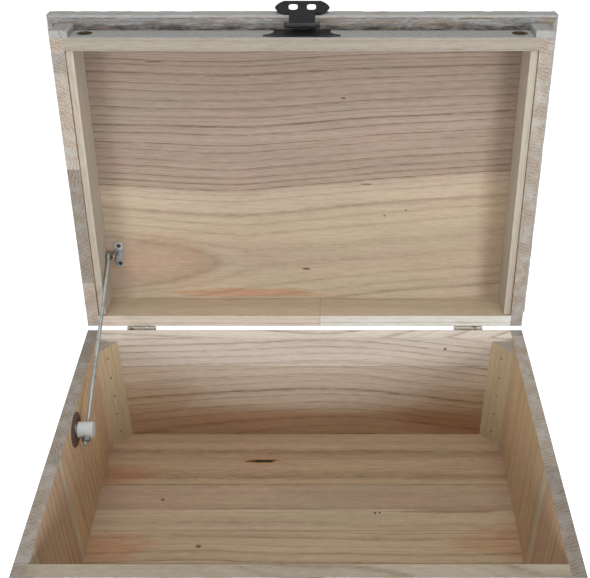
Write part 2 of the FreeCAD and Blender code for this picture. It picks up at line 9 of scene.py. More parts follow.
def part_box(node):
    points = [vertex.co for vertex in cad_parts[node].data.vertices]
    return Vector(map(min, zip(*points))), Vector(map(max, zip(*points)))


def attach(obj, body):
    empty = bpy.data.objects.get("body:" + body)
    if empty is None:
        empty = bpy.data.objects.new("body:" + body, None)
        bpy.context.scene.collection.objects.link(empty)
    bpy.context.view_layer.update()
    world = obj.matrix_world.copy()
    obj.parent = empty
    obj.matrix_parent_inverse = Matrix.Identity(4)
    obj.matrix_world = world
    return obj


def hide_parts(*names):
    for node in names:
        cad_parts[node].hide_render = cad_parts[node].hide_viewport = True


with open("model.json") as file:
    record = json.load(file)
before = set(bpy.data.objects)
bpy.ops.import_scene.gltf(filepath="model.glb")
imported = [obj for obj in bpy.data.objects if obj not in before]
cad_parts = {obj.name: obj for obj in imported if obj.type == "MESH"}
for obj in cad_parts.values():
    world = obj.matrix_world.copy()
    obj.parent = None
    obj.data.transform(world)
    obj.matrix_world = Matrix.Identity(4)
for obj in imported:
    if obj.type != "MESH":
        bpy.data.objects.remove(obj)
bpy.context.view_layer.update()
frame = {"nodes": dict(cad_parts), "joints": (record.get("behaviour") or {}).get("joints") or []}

MM = 0.001


# ---- places taken from the frame ----

LID_JOINT = next(joint for joint in frame["joints"] if joint["name"] == "lid_hinge")
HINGE = Vector(LID_JOINT["pos_m"])
OPEN_ANGLE = math.radians(LID_JOINT["range_deg"][1])
CLOSED = Matrix.Translation(HINGE) @ Matrix.Rotation(OPEN_ANGLE, 4, "X") @ Matrix.Translation(-HINGE)
BOX_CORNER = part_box("box_right_side")[1]
HALF_WIDTH = BOX_CORNER.x
HALF_DEPTH = BOX_CORNER.y


def closed_points(node, lid):
    """A node's mesh corners in the closed chest: the lid's are turned down, the box's stay."""
    turn = CLOSED if lid else Matrix()
    return [turn @ vertex.co for vertex in frame["nodes"][node].data.vertices]


def closed_box(node):
    """A lid node's lowest and highest corners with the lid closed."""
    points = closed_points(node, lid=True)
    low = Vector([min(p[i] for p in points) for i in range(3)])
    high = Vector([max(p[i] for p in points) for i in range(3)])
    return low, high


def glue_lines(node, axis, lid=False):
    """Where a panel's boards meet along an axis. They are plain boxes, so each corner is at an edge."""
    edges = {round(point["XYZ".index(axis)], 4) for point in closed_points(node, lid)}
    return sorted(edges)[1:-1]


LID_RIM = closed_box("lid_back_rail")[0].z
LID_TOP = closed_box("lid_top_panel")[1].z


# ---- short ways to write material nodes ----

def srgb(red, green, blue):
    """A colour named by its 0 to 255 screen values, as the linear values that shaders use."""
    linear = []
    for value in (red, green, blue):
        share = value / 255
        linear.append(share / 12.92 if share <= 0.04045 else ((share + 0.055) / 1.055) ** 2.4)
    return tuple(linear)


class Shader:
    """One material and its nodes. A value is a socket, a number, or a tuple for a colour or vector."""

    def __init__(self, name):
        self.material = bpy.data.materials.new(name)
        self.material.use_nodes = True
        self.nodes = self.material.node_tree.nodes
        self.surface = self.nodes["Principled BSDF"]

    def add(self, kind, inputs=(), **settings):
        node = self.nodes.new(kind)
        for key, value in settings.items():
            setattr(node, key, value)
        for key, value in inputs:
            self.feed(node.inputs[key], value)
        return node

    def feed(self, socket, value):
        if isinstance(value, bpy.types.NodeSocket):
            self.material.node_tree.links.new(value, socket)
        elif isinstance(value, tuple) and socket.type == "RGBA":
            socket.default_value = (*value, 1.0)
        else:
            socket.default_value = value

    def math(self, operation, a, b=0.0, c=0.0, clamp=False):
        node = self.add("ShaderNodeMath", [(0, a), (1, b), (2, c)], operation=operation, use_clamp=clamp)
        return node.outputs[0]

    def plus(self, a, b):
        return self.math("ADD", a, b)

    def minus(self, a, b):
        return self.math("SUBTRACT", a, b)

    def times(self, a, b, clamp=False):
        return self.math("MULTIPLY", a, b, clamp=clamp)

    def times_plus(self, a, b, c, clamp=False):
        """a * b + c"""
        return self.math("MULTIPLY_ADD", a, b, c, clamp)

    def distance(self, x, y):
        return self.math("SQRT", self.plus(self.times(x, x), self.times(y, y)))

    def mix(self, share, a, b, blend="MIX"):
        node = self.add("ShaderNodeMix", data_type="RGBA", blend_type=blend)
        self.feed(node.inputs[0], share)
        self.feed(node.inputs[6], a)
        self.feed(node.inputs[7], b)
        return node.outputs[2]

    def tinted(self, colour, tint):
        return self.mix(1.0, colour, tint, "MULTIPLY")

    def lit(self, colour, light):
        return self.tinted(colour, self.vector(light, light, light))

    def ramp(self, value, stops, interpolation="LINEAR"):
        node = self.add("ShaderNodeValToRGB", [("Fac", value)])
        ramp = node.color_ramp
        ramp.interpolation = interpolation
        while len(ramp.elements) < len(stops):
            ramp.elements.new(1.0)
        for element, (position, colour) in zip(ramp.elements, stops):
            element.position = position
            element.color = (*colour, 1.0) if isinstance(colour, tuple) else (colour, colour, colour, 1.0)
        return node.outputs["Color"]

    def range(self, value, low, high, new_low=0.0, new_high=1.0, smooth=False):
        node = self.add("ShaderNodeMapRange", clamp=True)
        node.interpolation_type = "SMOOTHSTEP" if smooth else "LINEAR"
        for key, item in enumerate((value, low, high, new_low, new_high)):
            self.feed(node.inputs[key], item)
        return node.outputs[0]

    def vector(self, x, y, z):
        return self.add("ShaderNodeCombineXYZ", [(0, x), (1, y), (2, z)]).outputs[0]

    def split(self, vector):
        outputs = self.add("ShaderNodeSeparateXYZ", [(0, vector)]).outputs
        return {"X": outputs[0], "Y": outputs[1], "Z": outputs[2]}

    def noise(self, vector, detail=2.0, roughness=0.5):
        node = self.add("ShaderNodeTexNoise", [("Vector", vector), ("Scale", 1.0), ("Detail", detail),
                                               ("Roughness", roughness)])
        return node.outputs["Fac"]

    def even_noise(self, scale, detail=3.0, position=None):
        """Noise with `scale` features per metre in every direction."""
        position = position or self.add("ShaderNodeTexCoord").outputs["Object"]
        scaled = self.add("ShaderNodeVectorMath", [(0, position), (1, (scale, scale, scale))],
                          operation="MULTIPLY")
        return self.noise(scaled.outputs[0], detail)

    def chance(self, value):
        """Random values that stay the same for each whole number."""
        return self.add("ShaderNodeTexWhiteNoise", [("W", value)], noise_dimensions="1D").outputs

    def place(self, lid=False):
        """Position and normal in the row frame, with the lid's parts turned back to the closed lid."""
        source = self.add("ShaderNodeTexCoord")
        position, normal = source.outputs["Object"], source.outputs["Normal"]
        if not lid:
            return position, normal
        turned_position = self.add("ShaderNodeVectorRotate", rotation_type="X_AXIS", inputs=[
            ("Vector", position), ("Center", tuple(HINGE)), ("Angle", OPEN_ANGLE)])
        turned_normal = self.add("ShaderNodeVectorRotate", rotation_type="X_AXIS", inputs=[
            ("Vector", normal), ("Angle", OPEN_ANGLE)])
        return turned_position.outputs[0], turned_normal.outputs[0]

    def finish(self, colour, roughness, height, distance, strength, others=()):
        """Connects the surface, with a bump of the given height, and returns the material."""
        for name, value in (("Base Color", colour), ("Roughness", roughness), *others):
            self.feed(self.surface.inputs[name], value)
        bump = self.add("ShaderNodeBump", [("Height", height), ("Distance", distance),
                                           ("Strength", strength)])
        self.feed(self.surface.inputs["Normal"], bump.outputs[0])
        return self.material


# ---- wood ----

WARM = srgb(216, 190, 158)
ROSE = srgb(212, 184, 160)
TAN = srgb(194, 176, 153)
PALE = srgb(220, 208, 188)
WHITE_WOOD = srgb(232, 232, 226)
SHOP_WORN = srgb(158, 151, 143)
OLD_WOOD = srgb(104, 92, 78)
OLD_ROSE = srgb(140, 122, 116)
OCHRE = srgb(138, 112, 84)
SEAM = srgb(96, 74, 56)
END_GRAIN = srgb(160, 153, 146)
END_GRAIN_LIGHT = srgb(178, 173, 166)
END_GRAIN_DARK = srgb(92, 82, 76)
PAINT_THIN = srgb(120, 120, 118)
PAINT_THICK = srgb(190, 191, 189)
PAINT_COOL = srgb(152, 158, 166)
PAINT_PLAIN = srgb(164, 164, 161)
PAINT_WARM = srgb(168, 160, 157)
HANDLED_PAINT = srgb(190, 192, 191)

RING_TINT = (0.44, 0.38, 0.32)
# painted shade with dirt: the tint that darkens the mouldings' undersides
SHADE_AND_DIRT_TINT = (0.16, 0.14, 0.12)
WARM_CLOUD, COOL_CLOUD = (0.86, 0.64, 0.52), (0.70, 0.72, 0.50)

CHAMFER = 3 * MM
SOFT_EDGE = 0.6 * MM
HALF_SEAM = 0.4 * MM


class Figure:
    """How a board was cut from the log, in metres: where the log's heart runs, and how the rings are spaced.

    heart: the heart's place across the board and through it, where it runs level
    cone, cone_end: how fast the heart comes up to the face along the board, up to where it runs level
    skew, bend: the drift of the grain across the board, and where along the board it starts
    near, far, switch: ring spacing close to the heart, and beyond the radius `switch`
    start: shifts the rings outward by a share of their spacing
    """

    def __init__(self, heart=(0.0, 0.3), cone=0.0, cone_end=1.0, skew=0.02, bend=None, near=0.012, far=0.009,
                 switch=0.1, start=0.0):
        self.heart = heart
        self.cone, self.cone_end = cone, cone_end
        self.skew, self.bend = skew, bend
        self.near, self.far, self.switch = near, far, switch
        self.start = start


def board_number(shader, across, joints):
    """Which board a point lies on, counted across the glue joints, and 1 within a joint's dark line."""
    number, seam = 0.0, 0.0
    for place in joints:
        number = shader.plus(number, shader.math("GREATER_THAN", across, place))
        seam = shader.math("MAXIMUM", seam, shader.math("COMPARE", across, place, HALF_SEAM))
    return number, seam


def board_chance(shader, number, seed, boards):
    """Three chance values from 0 to 1 for each board of a glued-up panel."""
    if boards == 1:
        return {"X": 0.5, "Y": 0.5, "Z": 0.5}
    return shader.split(shader.chance(shader.plus(number, seed))["Color"])


def stretched(shader, place, along, cross, seed, detail=2.0, roughness=0.5):
    """Noise drawn out along the grain, with `along` and `cross` features per metre."""
    parts = [shader.times_plus(value, scale, seed) for value, scale in zip(place, (along, cross, cross))]
    return shader.noise(shader.vector(*parts), detail, roughness)


def ring_radius(shader, place, figure, chance, seed):
    """Distance from the heart of the log, which draws both the face figure and the end grain."""
    along, across, through = place
    slow = stretched(shader, place, 3.2, 10.0, seed, detail=1.5)
    small = stretched(shader, place, 7.0, 22.0, seed + 4.0, detail=1.0)
    drift = shader.times_plus(slow, 16 * MM, -8 * MM)
    drift = shader.plus(drift, shader.times_plus(small, 2.4 * MM, -1.2 * MM))

    bend = -1.0 if figure.bend is None else figure.bend
    beyond = shader.minus(along, bend)
    softly = shader.math("SQRT", shader.times_plus(beyond, beyond, 0.002))
    slope = shader.times(shader.plus(beyond, softly), figure.skew / 2)
    fan = 1.0 if figure.bend is None else shader.range(across, -0.2, 0.0, 0.25, 1.0)
    drift = shader.times_plus(slope, fan, drift)
    drift = shader.plus(drift, shader.times_plus(chance["X"], 0.10, -0.05))

    sideways = shader.plus(shader.minus(across, figure.heart[0]), drift)
    sinking = shader.math("MINIMUM", shader.minus(along, figure.cone_end), 0.0)
    depth = shader.times_plus(sinking, figure.cone, shader.minus(through, figure.heart[1]))
    return shader.distance(sideways, depth)


def ring_shade(shader, radius, place, figure, seed, steady):
    """Dark late wood at the end of each year's growth, and thinner lines between.

    Some years are darker, and the lines break up along the board. Where `steady`, the rings near the heart
    are even instead.
    """
    beyond = shader.math("MAXIMUM", shader.minus(radius, figure.switch), 0.0)
    count = shader.times_plus(radius, 1 / figure.near, -figure.start)
    count = shader.times_plus(beyond, 1 / figure.far - 1 / figure.near, count)
    uneven = shader.noise(shader.vector(shader.times(count, 0.6), seed, 0.0), detail=1.0)
    if steady:
        uneven = shader.times(uneven, shader.times(beyond, 60.0, clamp=True))
    phase = shader.times_plus(uneven, 1.6, count)

    share = shader.math("FRACT", phase)
    soft = shader.ramp(share, [(0.0, 0.45), (0.05, 0.12), (0.4, 0.0), (0.80, 0.14), (0.92, 0.5),
                               (0.97, 1.0), (1.0, 0.45)])
    crisp = shader.ramp(share, [(0.0, 0.5), (0.04, 0.08), (0.4, 0.0), (0.74, 0.14), (0.88, 0.55),
                                (0.96, 1.0), (1.0, 0.5)])
    far_share = shader.range(radius, figure.switch - 4 * MM, figure.switch)
    line = shader.mix(far_share, soft, crisp)

    year = shader.math("FLOOR", shader.plus(phase, 0.03))
    weight = shader.range(shader.chance(shader.plus(year, seed))["Value"], 0.0, 1.0, 0.3, 1.0)
    broken = stretched(shader, place, 34.0, 240.0, seed + 8.0, detail=4.0, roughness=0.65)
    gap = shader.range(broken, 0.34, 0.62, -0.6, 0.35)
    if steady:
        even_weight = 0.42
        weight = shader.times_plus(shader.minus(weight, even_weight), far_share, even_weight)
        gap = shader.times(gap, shader.math("MAXIMUM", far_share, 0.35))
    weight = shader.times(weight, shader.plus(gap, 1.0))

    thin = shader.math("FRACT", shader.times(phase, 3.7))
    thin = shader.ramp(thin, [(0.0, 0.5), (0.2, 0.0), (0.7, 0.1), (0.92, 1.0), (1.0, 0.5)])
    thin_cloud = shader.noise(shader.vector(shader.times(phase, 1.9), seed, 5.0))
    thin_weight = shader.range(thin_cloud, 0.42, 0.62)
    return shader.times(line, weight), shader.times(thin, thin_weight)


def end_grain(shader, base, position, radius, brightness):
    """A sawn end: greyer than the face, with close rings, open pores and dark specks."""
    spacing = 4.2 * MM
    wobble = shader.even_noise(70.0, position=position)
    ring = shader.math("FRACT", shader.times_plus(radius, 1 / spacing, shader.times(wobble, 2.6)))
    ring = shader.ramp(ring, [(0.0, 0.6), (0.15, 0.1), (0.6, 0.0), (0.85, 0.8), (1.0, 0.6)])
    speck = shader.even_noise(900.0, 4.0, position)
    patch = shader.even_noise(60.0, position=position)
    dark = shader.times(ring, shader.range(patch, 0.35, 0.62, 0.9, 0.25))
    dark = shader.times_plus(shader.range(speck, 0.45, 0.70), 0.9, dark, clamp=True)
    colour = shader.mix(0.62, shader.tinted(base, (brightness,) * 3), END_GRAIN)
    colour = shader.mix(shader.range(patch, 0.42, 0.66), colour, END_GRAIN_LIGHT)
    return shader.mix(shader.times(dark, 0.6), colour, END_GRAIN_DARK)


def outside_mask(shader, position, lid):
    """1 on the faces that were washed grey: the outer sides, and the lid's top."""
    place = shader.split(position)
    skin = 0.5 * MM
    sides = shader.math("GREATER_THAN", shader.math("ABSOLUTE", place["X"]), HALF_WIDTH - skin)
    ends = shader.math("GREATER_THAN", shader.math("ABSOLUTE", place["Y"]), HALF_DEPTH - skin)
    mask = shader.math("MAXIMUM", sides, ends)
    if lid:
        mask = shader.math("MAXIMUM", mask, shader.math("GREATER_THAN", place["Z"], LID_TOP - skin))
    return mask


def washed(shader, wood_colour, place, seed, amount):
    """Grey paint wiped thin, so that old brown wood shows through in streaks.

    `amount` is the share it covers. Returns the colour, and how thick the paint lies.
    """
    streak = stretched(shader, place, 26.0, 330.0, seed, detail=5.0, roughness=0.72)
    patch = stretched(shader, place, 16.0, 60.0, seed + 2.0, detail=3.0)
    warm = stretched(shader, place, 30.0, 140.0, seed + 12.0, detail=4.0, roughness=0.65)
    fleck = stretched(shader, place, 160.0, 700.0, seed + 15.0, detail=3.0, roughness=0.7)
    cool = stretched(shader, place, 22.0, 120.0, seed + 18.0, detail=3.0)
    worn = shader.times_plus(patch, 0.35, shader.times(streak, 0.65))
    middle = 0.62 - 0.24 * amount
    cover = shader.range(worn, middle - 0.07, middle + 0.07, 0.25, 0.95, smooth=True)
    under = shader.ramp(warm, [(0.38, OLD_WOOD), (0.50, OCHRE), (0.58, OLD_ROSE), (0.66, OLD_WOOD)])
    under = shader.mix(0.25, under, wood_colour)
    paint = shader.mix(shader.range(fleck, 0.35, 0.65), PAINT_THIN, PAINT_THICK)
    hue = shader.ramp(cool, [(0.36, PAINT_COOL), (0.50, PAINT_PLAIN), (0.64, PAINT_WARM)])
    paint = shader.mix(0.45, paint, hue)
    return shader.mix(cover, under, paint), cover


def add_shade_and_dirt(shader, paint, place, reach, upward, stops, seed):
    """Painted shade and old dirt on a moulding's underside, from the wall outward, and paint rubbed pale at
    its outer edge.

    `reach` is the distance from the wall, and `upward` how far the face looks up. `stops` says how dark
    the painted shade and dirt are at distances from the wall.
    """
    depth = stops[-1][0]
    share = shader.ramp(shader.math("DIVIDE", reach, depth), [(at / depth, dark) for at, dark in stops])
    patch = stretched(shader, place, 60.0, 260.0, seed + 21.0, detail=4.0, roughness=0.65)
    share = shader.times(share, shader.range(patch, 0.32, 0.62, 0.2, 1.3), clamp=True)
    # painted shade with dirt: only faces that don't look up are darkened, most in the crease by the wall
    underside = shader.math("LESS_THAN", upward, 0.3)
    share = shader.times(share, underside)
    paint = shader.mix(share, paint, shader.tinted(paint, SHADE_AND_DIRT_TINT))
    outer = shader.range(reach, depth - CHAMFER, depth - CHAMFER / 2)
    return shader.mix(shader.times(outer, 0.3), paint, HANDLED_PAINT)


def knot_and_shade(centre, size, tint, strength=1.0, ragged=0.35):
    """A knot or crack, whose own colour covers the wood, and painted shade that fills a hollow."""
    return {"centre": centre, "size": size, "tint": tint, "strength": strength, "ragged": ragged,
            "blend": "MIX"}


def stain_and_shade(centre, size, tint, strength, ragged=0.35):
    """A tint that lets the grain show: a stain, and also painted shade."""
    return {"centre": centre, "size": size, "tint": tint, "strength": strength, "ragged": ragged,
            "blend": "MULTIPLY"}


def spot(shader, colour, place, centre, size, tint, strength, ragged, blend):
    """Adds a knot, stain or painted shade: an oval with a ragged edge. Its centre is given along and across
    the grain.
    """
    along, across, _ = place
    x = shader.times(shader.minus(along, centre[0]), 1 / size[0])
    y = shader.times(shader.minus(across, centre[1]), 1 / size[1])
    rough = shader.noise(shader.vector(shader.times(x, 2.0), shader.times(y, 2.0), 0.0), detail=3.0)
    reach = shader.plus(shader.distance(x, y), shader.times_plus(rough, ragged * 2, -ragged))
    return shader.mix(shader.range(reach, 0.55, 1.0, strength, 0.0, smooth=True), colour, tint, blend)


def board_colour(shader, radius, number, boards, tints, bands):
    """The wood's own colour: by distance from the log's heart where there are bands, or else by board."""
    if bands:
        low, high = bands[0][0], bands[-1][0]
        stops = [((at - low) / (high - low), colour) for at, colour in bands]
        return shader.ramp(shader.range(radius, low, high), stops)
    if boards == 1:
        return tints[0]
    stops = [(max(0.0, (i - 0.5) / boards), tints[i % len(tints)]) for i in range(boards)]
    return shader.ramp(shader.math("DIVIDE", number, float(boards)), stops, "CONSTANT")


def clouded(shader, base, place, mottle, seed):
    """Soft changes of light and hue over a board, with light streaks along its grain."""
    cloud = stretched(shader, place, 3.5, 14.0, seed + 3.0, detail=3.0)
    streak = stretched(shader, place, 2.6, 110.0, seed + 6.0, detail=4.0, roughness=0.65)
    hue = stretched(shader, place, 7.0, 20.0, seed + 9.0)
    tint = shader.mix(shader.range(hue, 0.36, 0.64), WARM_CLOUD, COOL_CLOUD)
    base = shader.mix(mottle * 2, base, tint, "SOFT_LIGHT")
    both = shader.plus(shader.times(cloud, 0.5), shader.times(streak, 0.5))
    return shader.lit(base, shader.range(both, 0.32, 0.68, 1.0 - mottle, 1.0 + mottle))


def wood(name, along, across, figure, tints=(TAN,), lid=False, joints=(), joint_axis=None, rim_tints=False,
         bands=(), lines=0.5, fine=0.25, mottle=0.10, steady=False, seed=1.0, wash="outside", cover=0.6,
         end_shade=0.86, spots=(), shade_and_dirt=None):
    """Sanded paulownia, which is washed grey where it faces out.

    along, across: axes of the closed chest along the grain and across the board's face
    tints, joints, joint_axis: the boards' colours, the glue lines between them, and those lines' axis
    rim_tints: the boards' own tints are for the lower rim, and one more before them is for the rest
    bands: instead of tints, pairs of a distance from the log's heart and a colour
    lines, fine, mottle: how strong the year rings, the lines between them and the clouds are
    steady: the rings near the log's heart are even
    wash, cover: "outside", "all" or None for the painted faces, and the share that the paint covers
    end_shade: how bright the sawn ends are
    spots: knots, stains and painted shade
    shade_and_dirt: for a moulding, the axis it sticks out on, the place of the wall there and the stops of
    the painted shade and dirt
    """
    shader = Shader(name)
    position, normal = shader.place(lid)
    axes, facing = shader.split(position), shader.split(normal)
    depth_axis = next(axis for axis in "XYZ" if axis not in (along, across))
    place = (axes[along], axes[across], axes[depth_axis])
    boards = len(joints) + 1
    number, seam = board_number(shader, axes[joint_axis or across], joints)
    if rim_tints:
        rim = shader.math("LESS_THAN", facing[across], -0.7)
        number = shader.times(rim, shader.plus(number, 1.0))
    chance = board_chance(shader, number, seed, boards)
    radius = ring_radius(shader, place, figure, chance, seed)
    base = board_colour(shader, radius, number, boards + rim_tints, tints, bands)
    base = clouded(shader, base, place, mottle, seed)

    ring, thin = ring_shade(shader, radius, place, figure, seed, steady)
    fibre = stretched(shader, place, 26.0, 700.0, seed, detail=3.0, roughness=0.6)
    hair = stretched(shader, place, 60.0, 420.0, seed + 5.0, detail=3.0, roughness=0.7)
    pore = stretched(shader, place, 90.0, 1400.0, seed, detail=1.0)
    dash = shader.times(shader.range(pore, 0.58, 0.70), shader.range(ring, 0.0, 0.5, 0.35, 1.0))
    shade = shader.times_plus(thin, fine, shader.times(ring, lines))
    shade = shader.times_plus(shader.range(fibre, 0.4, 0.75), 0.14, shade)
    shade = shader.times_plus(shader.range(hair, 0.38, 0.66), 0.22, shade)
    shade = shader.times_plus(dash, 0.22, shade, clamp=True)
    colour = shader.mix(shade, base, shader.tinted(base, RING_TINT))
    colour = shader.mix(shader.times(seam, 0.45), colour, SEAM)
    for item in spots:
        colour = spot(shader, colour, place, **item)

    sawn = shader.range(shader.math("ABSOLUTE", facing[along]), 0.75, 0.9)
    cut_end = end_grain(shader, base, position, radius, end_shade)
    cut_end = shader.lit(cut_end, shader.times_plus(chance["Y"], 0.5, 0.72))
    colour = shader.mix(sawn, colour, cut_end)
    height = shader.times_plus(ring, -0.5, shader.times(fibre, 0.6))
    height = shader.times_plus(dash, -0.5, height)

    if wash:
        paint, thickness = washed(shader, colour, place, seed, cover)
        if shade_and_dirt:
            # painted shade with dirt on the moulding's underside, darkest by the wall
            axis, wall, stops = shade_and_dirt
            reach = shader.minus(shader.math("ABSOLUTE", axes[axis]), wall)
            paint = add_shade_and_dirt(shader, paint, place, reach, facing["Z"], stops, seed)
        mask = outside_mask(shader, position, lid) if wash == "outside" else 1.0
        colour = shader.mix(mask, colour, paint)
        height = shader.plus(height, shader.times(shader.times(thickness, mask), 0.9))
    roughness = shader.range(fibre, 0.3, 0.7, 0.60, 0.74)
    return shader.finish(colour, roughness, height, 0.25 * MM, 0.6, [("Specular IOR Level", 0.25)])


# ---- metal, plastic and fibre ----

def black_paint():
    """Black enamel, rubbed grey in places."""
    shader = Shader("black_paint")
    fine = shader.even_noise(900.0)
    worn = shader.even_noise(160.0, 5.0)
    colour = shader.mix(shader.range(worn, 0.62, 0.78), srgb(16, 16, 18), srgb(46, 45, 44))
    return shader.finish(colour, shader.range(worn, 0.3, 0.7, 0.34, 0.52), fine, 0.12 * MM, 0.5)


def plated(name, bright, dull, rough_low, rough_high, patch=0.5, metallic=1.0):
    """Plated steel with dull patches; `patch` is how much of it has dulled."""
    shader = Shader(name)
    cloud = shader.even_noise(90.0, 4.0)
    fine = shader.even_noise(700.0)
    colour = shader.mix(shader.range(cloud, 0.72 - patch * 0.4, 0.85 - patch * 0.4), bright, dull)
    roughness = shader.range(cloud, 0.3, 0.7, rough_low, rough_high)
    return shader.finish(colour, roughness, fine, 0.01 * MM, 0.1, [("Metallic", metallic)])


def nylon():
    """The off-white plastic of the stay's barrel."""
    shader = Shader("nylon")
    cloud = shader.even_noise(240.0)
    colour = shader.mix(shader.range(cloud, 0.3, 0.7), srgb(214, 218, 218), srgb(202, 205, 204))
    return shader.finish(colour, shader.range(cloud, 0.3, 0.7, 0.36, 0.48), cloud, 0.08 * MM, 0.4,
                         [("Subsurface Weight", 0.15), ("Subsurface Scale", 2 * MM)])


def brown_fibre():
    """Pressed board with light and dark specks."""
    shader = Shader("brown_fibre")
    speck = shader.even_noise(620.0, 4.0)
    cloud = shader.even_noise(130.0)
    colour = shader.ramp(speck, [(0.0, srgb(46, 33, 26)), (0.45, srgb(96, 72, 56)),
                                 (0.62, srgb(120, 96, 78)), (1.0, srgb(150, 128, 108))])
    colour = shader.mix(shader.range(cloud, 0.4, 0.7, 0.0, 0.4), colour, srgb(62, 44, 34))
    return shader.finish(colour, 0.8, speck, 0.2 * MM, 0.7)


def pale_floor():
    shader = Shader("pale_floor")
    cloud = shader.even_noise(3.0)
    colour = shader.mix(shader.range(cloud, 0.3, 0.7), srgb(250, 250, 250), srgb(247, 247, 247))
    for name, value in (("Base Color", colour), ("Roughness", 0.9), ("Emission Color", colour),
                        ("Emission Strength", 0.75)):
        shader.feed(shader.surface.inputs[name], value)
    return shader.material


# ---- worn mouldings and corner strips ----

TIGHT = 0.2 * MM


def between(a, b, step):
    """Evenly spaced points between two points, without the two."""
    pieces = max(1, round((b - a).length / step))
    return [a.lerp(b, k / pieces) for k in range(1, pieces)]


def rounded_outline(corners, step):
    """Points round a closed outline of (u, v, radius) corners, and whether each is on a rounded corner."""
    points = []
    count = len(corners)
    for i, (u, v, radius) in enumerate(corners):
        here = Vector((u, v))
        before = (Vector(corners[i - 1][:2]) - here).normalized()
        after = (Vector(corners[(i + 1) % count][:2]) - here).normalized()
        half = math.acos(max(-1.0, min(1.0, before.dot(after)))) / 2
        cut = radius / math.tan(half)
        start, finish = here + before * cut, here + after * cut
        if points:
            points += [(p, False) for p in between(points[-1][0], start, step)]
        centre = here + (before + after).normalized() * (radius / math.sin(half))
        turns = max(3, round(radius * (math.pi - 2 * half) / step) + 2)
        for k in range(turns):
            mid = start.lerp(finish, k / (turns - 1)) - centre
            points.append((centre + mid.normalized() * radius, True))
    points += [(p, False) for p in between(points[-1][0], points[0][0], step)]
    return points


def wear(point, on_edge, seed):
    """How far a surface has worn in at a point: shallow dents all over, and deeper chips along the edges."""
    dent = 0.18 * MM * (noise.noise(point * 90.0 + Vector((seed, 0, 0))) + 0.4)
    chip = max(0.0, noise.noise(point * 55.0 + Vector((0, seed, 0))) - 0.10) * 3.2 * MM
    return max(0.0, dent + (chip if on_edge else 0.15 * chip))


def worn_strip(name, node, outline, place, length, body, material, seed):
    """Sweeps an outline along a strip and wears it, except where it touches the wall.

    place(share, u, v) gives the closed chest's point for a share of the length and a point of the outline
    """
    to_frame = CLOSED.inverted() if body == "lid" else Matrix()
    centre = sum((p for p, _ in outline), Vector((0.0, 0.0))) / len(outline)
    rows = max(2, round(length / (2.5 * MM)))
    mesh = bmesh.new()
    rings = []
    for row in range(rows + 1):
        share = row / rows
        ring = []
        for (u, v), on_edge in outline:
            point = place(share, u, v)
            touches_wall = v < 0.3 * MM
            if not touches_wall:
                inward = place(share, centre.x, centre.y) - point
                point = point + inward.normalized() * wear(point, on_edge, seed)
            ring.append(mesh.verts.new(to_frame @ point))
        rings.append(ring)
    size = len(outline)
    for first, second in zip(rings, rings[1:]):
        for k in range(size):
            after = (k + 1) % size
            face = mesh.faces.new((first[k], first[after], second[after], second[k]))
            face.smooth = True
    for ring in (rings[0], rings[-1]):
        mesh.faces.new([mesh.verts.new(v.co) for v in ring])
    bmesh.ops.recalc_face_normals(mesh, faces=mesh.faces)
    data = bpy.data.meshes.new(name)
    mesh.to_mesh(data)
    mesh.free()
    data.materials.append(material)
    piece = bpy.data.objects.new(name, data)
    bpy.context.scene.collection.objects.link(piece)
    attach(piece, body)
    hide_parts(node)


def moulding_outline(low, high, out):
    """Chamfered below its outer face and rounded above it. u is height, v is outward."""
    corners = [(low, 0.0, TIGHT), (low, out - CHAMFER, 0.9 * MM), (low + CHAMFER, out, 0.9 * MM),
               (high, out, 2.5 * MM), (high, 0.0, TIGHT)]
    return rounded_outline(corners, 1.3 * MM)


def moulding_shade_and_dirt(out):
    """How dark the painted shade and old dirt are, from the lid's wall outward: deep by the wall, and a line
    at the chamfer.
    """
    edge = out - CHAMFER
    return [(0.0, 0.8), (edge * 0.25, 0.7), (edge * 0.6, 0.35), (edge - 1.2 * MM, 0.12),
            (edge - 0.3 * MM, 0.8), (edge + 0.5 * MM, 0.0), (out, 0.0)]


def mouldings():
    """The front moulding sticks out further than the side ones, and meets them in a mitre."""
    front_low, front_high = closed_box("front_moulding")
    low, high = front_low.z, front_high.z
    front_out = -HALF_DEPTH - front_low.y
    side_out = closed_box("right_moulding")[1].x - HALF_WIDTH
    mitre = side_out / front_out
    front = wood("front_moulding_wood", "X", "Z", Figure(heart=(0.2, -0.6)), lid=True, seed=43.0, wash="all",
                 shade_and_dirt=("Y", HALF_DEPTH, moulding_shade_and_dirt(front_out)))
    sides = wood("side_moulding_wood", "Y", "Z", Figure(heart=(0.2, -0.9)), lid=True, seed=47.0, wash="all",
                 shade_and_dirt=("X", HALF_WIDTH, moulding_shade_and_dirt(side_out)))

    def along_front(share, u, v):
        return Vector(((share * 2 - 1) * (HALF_WIDTH + v * mitre), -HALF_DEPTH - v, u))

    worn_strip("worn_front_moulding", "front_moulding", moulding_outline(low, high, front_out), along_front,
               2 * (HALF_WIDTH + side_out), "lid", front, 3.0)
    for side, label in ((-1, "left"), (1, "right")):

        def along_side(share, u, v):
            start = -HALF_DEPTH - v / mitre
            return Vector((side * (HALF_WIDTH + v), start + share * (HALF_DEPTH - start), u))

        worn_strip(f"worn_{label}_moulding", f"{label}_moulding", moulding_outline(low, high, side_out),
                   along_side, 2 * HALF_DEPTH + front_out, "lid", sides, 11.0 + side)


